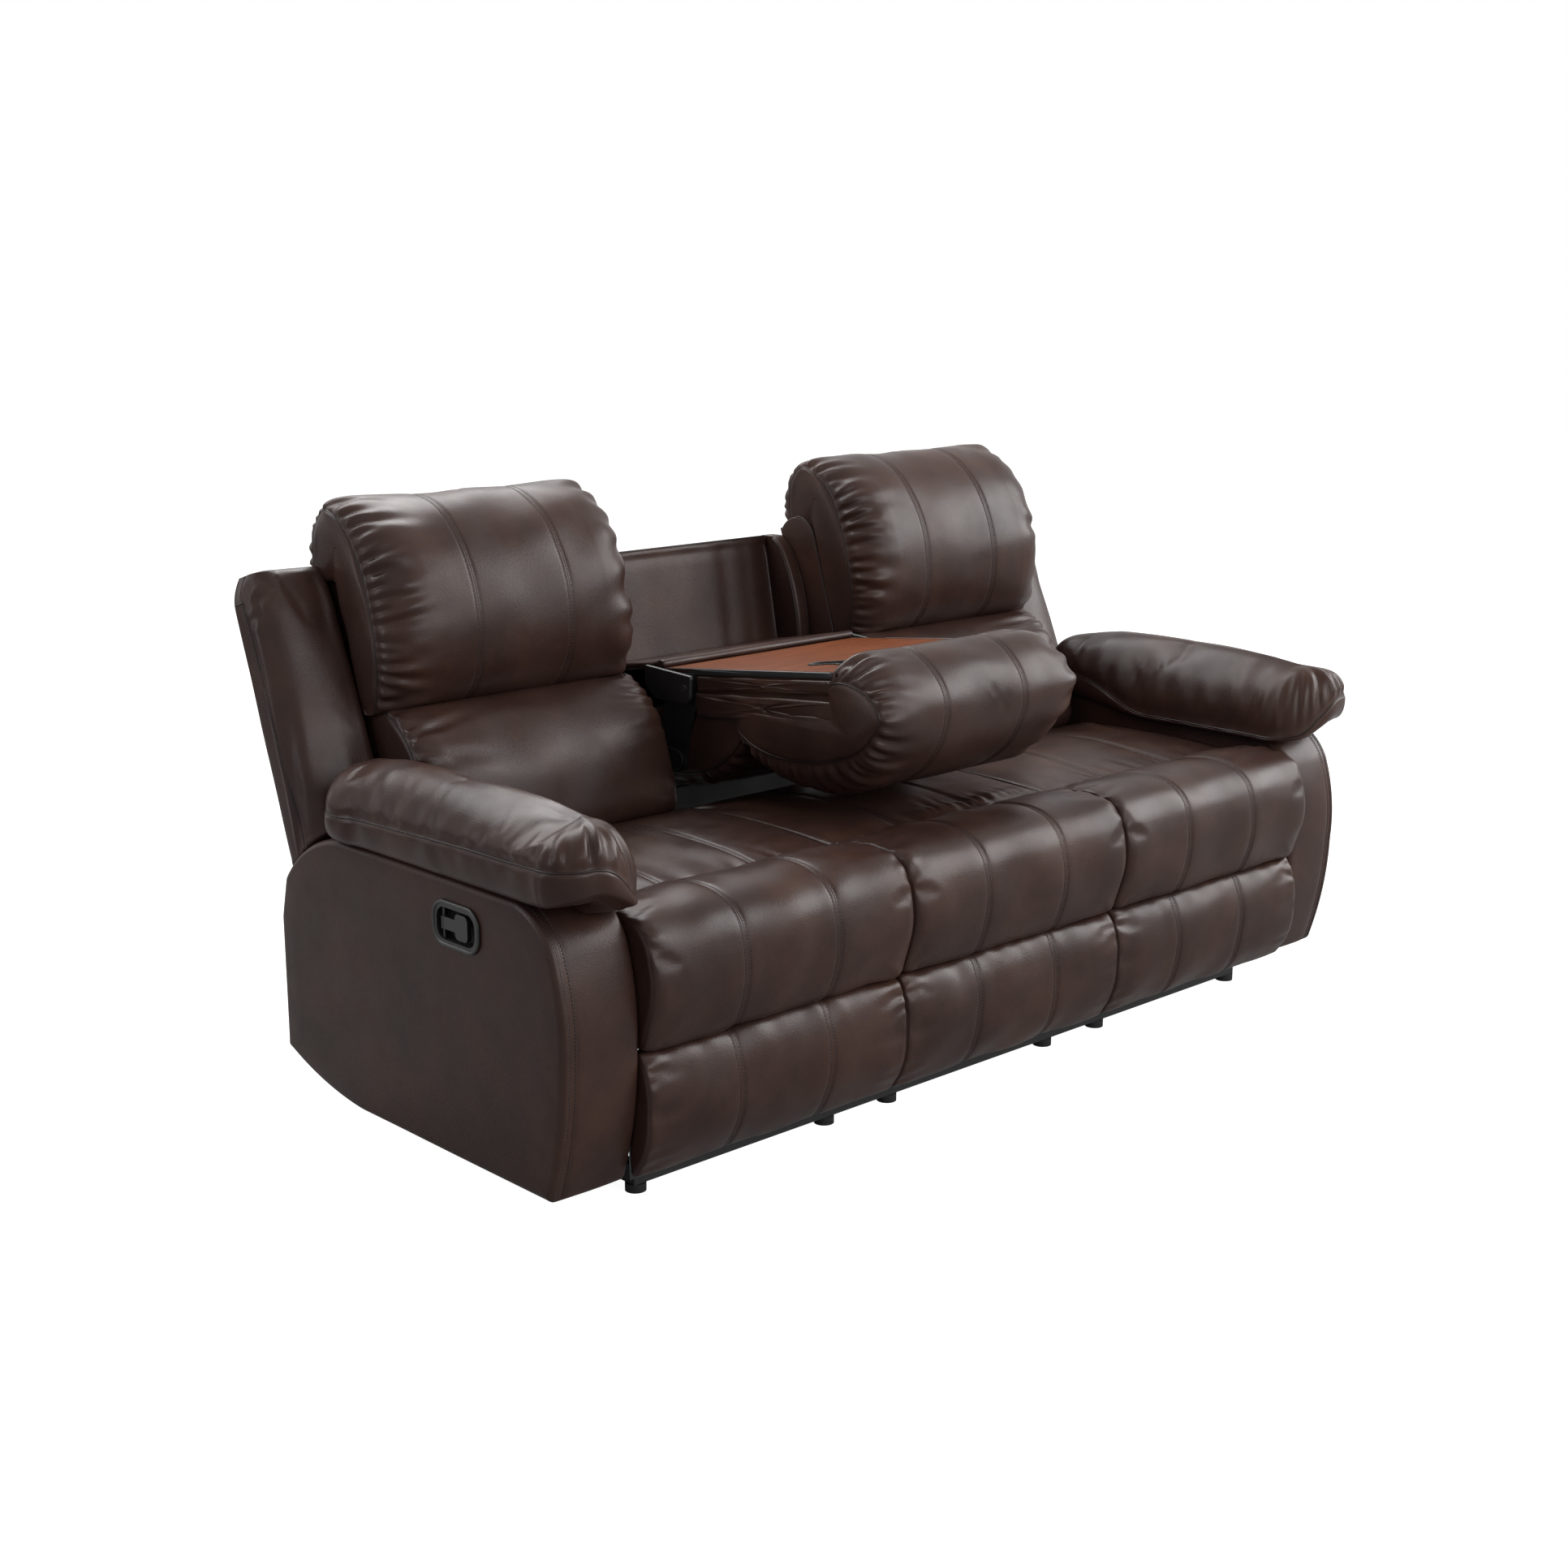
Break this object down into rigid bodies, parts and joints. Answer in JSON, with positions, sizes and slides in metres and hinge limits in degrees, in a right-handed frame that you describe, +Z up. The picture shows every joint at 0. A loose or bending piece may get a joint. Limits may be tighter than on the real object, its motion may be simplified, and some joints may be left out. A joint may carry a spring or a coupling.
{
  "type": "reclining sofa with drop-down console",
  "caption": "Three-seat dark brown leather reclining sofa: end seats recline with footrests, the centre back drops forward as a console with tray and cup wells.",
  "frame": {"origin": "middle of the footprint, on the floor", "axes": "+Z up, the sofa faces -Y, +X to the right of someone looking at its front"},
  "size_m": [2.024, 0.976, 1.0496],
  "materials": {
    "leather": "semi-gloss bonded leather, pebbled",
    "tray_wood": "satin wood-grain veneer",
    "black_plastic": "fine moulded texture",
    "black_steel": "black powder coat",
    "spring_steel": "drawn wire",
    "frame_wood": "sawn softwood"
  },
  "bodies": {
    "base": {"arm_body_left": "leather", "arm_body_right": "leather", "arm_brackets": "black_steel", "arm_frames": "frame_wood", "arm_pad_left": "leather", "arm_pad_right": "leather", "base_cross_rails": "black_steel", "base_side_rails": "black_steel", "centre_back_panel": "leather", "centre_back_posts": "frame_wood", "centre_cheeks": "leather", "centre_front_pad": "leather", "centre_rear_rail": "frame_wood", "centre_seat_cushion": "leather", "centre_seat_frame": "frame_wood", "centre_seat_roll": "leather", "centre_seat_springs": "spring_steel", "console_hinge_brackets": "black_steel", "feet": "black_plastic", "handle_bezels": "black_plastic", "release_cables": "black_plastic"},
    "seat_left": {"seat_frame_left": "frame_wood", "seat_springs_left": "spring_steel", "seat_cushion_left": "leather", "seat_roll_left": "leather", "mechanism_plates_left": "black_steel"},
    "lever_left": {"footrest_link_a_left": "black_steel"},
    "link_left": {"footrest_link_b_left": "black_steel"},
    "footrest_left": {"footrest_frame_left": "frame_wood", "footrest_pad_left": "leather"},
    "back_left": {"back_frame_left": "frame_wood", "back_shell_left": "leather", "back_wing_left": "leather", "head_cushion_left": "leather", "lumbar_cushion_left": "leather", "back_brackets_left": "black_steel"},
    "pull_handle_left": {"handle_left": "black_plastic"},
    "seat_right": {"seat_frame_right": "frame_wood", "seat_springs_right": "spring_steel", "seat_cushion_right": "leather", "seat_roll_right": "leather", "mechanism_plates_right": "black_steel"},
    "lever_right": {"footrest_link_a_right": "black_steel"},
    "link_right": {"footrest_link_b_right": "black_steel"},
    "footrest_right": {"footrest_frame_right": "frame_wood", "footrest_pad_right": "leather"},
    "back_right": {"back_frame_right": "frame_wood", "back_shell_right": "leather", "back_wing_right": "leather", "head_cushion_right": "leather", "lumbar_cushion_right": "leather", "back_brackets_right": "black_steel"},
    "pull_handle_right": {"handle_right": "black_plastic"},
    "console": {"console_frame": "leather", "console_tray": "tray_wood", "cup_holders": "black_plastic", "console_head_cushion": "leather", "console_lumbar_cushion": "leather", "console_hinge_arms": "black_steel"},
    "gap_flap": {"console_flap": "leather"}
  },
  "joints": [
    {"name": "glide_left", "type": "slide", "parent": "base", "child": "seat_left", "axis": [0, -1, 0], "range_m": [0, 0.04]},
    {"name": "recline_left", "type": "hinge", "parent": "seat_left", "child": "back_left", "pos_m": [-0.565, 0.19, 0.28], "axis": [-1, 0, 0], "range_deg": [0, 35]},
    {"name": "footrest_left", "type": "hinge", "parent": "seat_left", "child": "lever_left", "pos_m": [-0.565, -0.32, 0.24], "axis": [-1, 0, 0], "range_deg": [0, 128]},
    {"name": "footrest_link_left", "type": "hinge", "parent": "lever_left", "child": "link_left", "pos_m": [-0.565, -0.2075, 0.106], "axis": [-1, 0, 0], "range_deg": [-102, 0]},
    {"name": "footrest_tip_left", "type": "hinge", "parent": "link_left", "child": "footrest_left", "pos_m": [-0.565, -0.386, 0.15], "axis": [-1, 0, 0], "range_deg": [0, 64]},
    {"name": "pull_left", "type": "hinge", "parent": "base", "child": "pull_handle_left", "pos_m": [-0.997, -0.152, 0.4485], "axis": [0, 0, -1], "range_deg": [0, 25], "stiffness_Nm_per_rad": 1.5, "springref_deg": -8.59},
    {"name": "glide_right", "type": "slide", "parent": "base", "child": "seat_right", "axis": [0, -1, 0], "range_m": [0, 0.04]},
    {"name": "recline_right", "type": "hinge", "parent": "seat_right", "child": "back_right", "pos_m": [0.565, 0.19, 0.28], "axis": [-1, 0, 0], "range_deg": [0, 35]},
    {"name": "footrest_right", "type": "hinge", "parent": "seat_right", "child": "lever_right", "pos_m": [0.565, -0.32, 0.24], "axis": [-1, 0, 0], "range_deg": [0, 128]},
    {"name": "footrest_link_right", "type": "hinge", "parent": "lever_right", "child": "link_right", "pos_m": [0.565, -0.2075, 0.106], "axis": [-1, 0, 0], "range_deg": [-102, 0]},
    {"name": "footrest_tip_right", "type": "hinge", "parent": "link_right", "child": "footrest_right", "pos_m": [0.565, -0.386, 0.15], "axis": [-1, 0, 0], "range_deg": [0, 64]},
    {"name": "pull_right", "type": "hinge", "parent": "base", "child": "pull_handle_right", "pos_m": [0.997, -0.152, 0.4485], "axis": [0, 0, 1], "range_deg": [0, 25], "stiffness_Nm_per_rad": 1.5, "springref_deg": -8.59},
    {"name": "console_drop", "type": "hinge", "parent": "base", "child": "console", "pos_m": [0, 0.162, 0.539], "axis": [-1, 0, 0], "range_deg": [0, 100]},
    {"name": "flap_fold", "type": "hinge", "parent": "base", "child": "gap_flap", "pos_m": [0, 0.42, 0.674], "axis": [-1, 0, 0], "range_deg": [0, 90.1]}
  ],
  "couplings": [
    {"joint": "glide_left", "follows": "recline_left", "m_per_rad": 0.0654},
    {"joint": "footrest_link_left", "follows": "footrest_left", "ratio": -0.795},
    {"joint": "footrest_tip_left", "follows": "footrest_left", "ratio": 0.498},
    {"joint": "glide_right", "follows": "recline_right", "m_per_rad": 0.0654},
    {"joint": "footrest_link_right", "follows": "footrest_right", "ratio": -0.795},
    {"joint": "footrest_tip_right", "follows": "footrest_right", "ratio": 0.498},
    {"joint": "flap_fold", "follows": "console_drop", "ratio": 0.9009}
  ]
}
